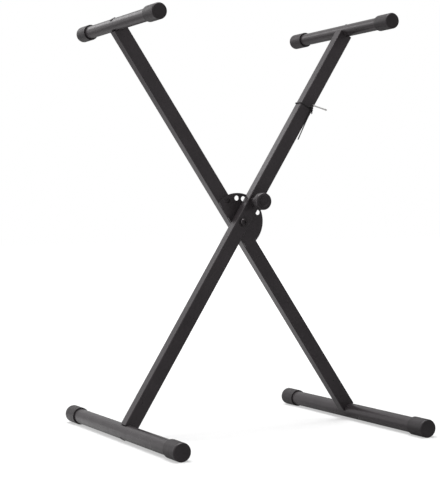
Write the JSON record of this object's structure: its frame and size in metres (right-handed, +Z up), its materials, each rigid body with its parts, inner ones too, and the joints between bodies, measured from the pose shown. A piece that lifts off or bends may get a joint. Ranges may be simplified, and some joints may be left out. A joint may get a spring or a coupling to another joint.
{
  "type": "folding keyboard stand",
  "caption": "Folding X-frame keyboard stand: crossed rectangular legs on a pivot, cross tubes with rubber caps, and a sprung pin that locks into a holed plate.",
  "frame": {"origin": "on the floor, midway between the base tubes, under the pivot", "axes": "+Z up, +X to the right across the crossed legs, +Y to the back along the pivot and the cross tubes"},
  "size_m": [0.5762, 0.6066, 0.8648],
  "materials": {
    "black_powder_coat": "semi-gloss black powder coat with a fine orange-peel texture",
    "cap_rubber": "matte black moulded rubber",
    "black_steel": "blackened steel",
    "bright_steel": "zinc-plated steel",
    "nylon": "natural nylon",
    "knob_plastic": "satin black moulded plastic",
    "tie_black": "black plastic-coated wire",
    "tie_light": "light grey stripped end"
  },
  "bodies": {
    "front_frame": {"base_left_bolt": "black_steel", "base_left_cap_back": "cap_rubber", "base_left_cap_front": "cap_rubber", "base_left_leg_plug": "bright_steel", "base_left_tube": "black_powder_coat", "friction_washer": "nylon", "front_leg": "black_powder_coat", "lock_housing": "black_steel", "lock_spring": "bright_steel", "pin_guide": "bright_steel", "pivot_bolt": "black_steel", "pivot_bush_front": "bright_steel", "pivot_nut": "black_steel", "pivot_washer_back": "black_steel", "pivot_washer_front": "black_steel", "tie_end": "tie_light", "tie_knot": "tie_black", "tie_loop": "tie_black", "tie_tail": "tie_black", "upper_right_bolt": "black_steel", "upper_right_cap_back": "cap_rubber", "upper_right_cap_front": "cap_rubber", "upper_right_leg_plug": "bright_steel", "upper_right_tube": "black_powder_coat"},
    "rear_frame": {"base_right_bolt": "black_steel", "base_right_cap_back": "cap_rubber", "base_right_cap_front": "cap_rubber", "base_right_leg_plug": "bright_steel", "base_right_tube": "black_powder_coat", "locking_plate": "black_powder_coat", "pivot_bush_rear": "bright_steel", "rear_leg": "black_powder_coat", "upper_left_bolt": "black_steel", "upper_left_cap_back": "cap_rubber", "upper_left_cap_front": "cap_rubber", "upper_left_leg_plug": "bright_steel", "upper_left_tube": "black_powder_coat"},
    "lock_plunger": {"lock_pin": "bright_steel", "lock_knob": "knob_plastic"}
  },
  "joints": [
    {"name": "fold", "type": "hinge", "parent": "front_frame", "child": "rear_frame", "pos_m": [0, 0, 0.43993], "axis": [0, 1, 0], "range_deg": [-35, 60]},
    {"name": "lock_pull", "type": "slide", "parent": "front_frame", "child": "lock_plunger", "axis": [0, 1, 0], "range_m": [0, 0.0037], "stiffness_N_per_m": 2000, "springref_m": 0.0037}
  ]
}
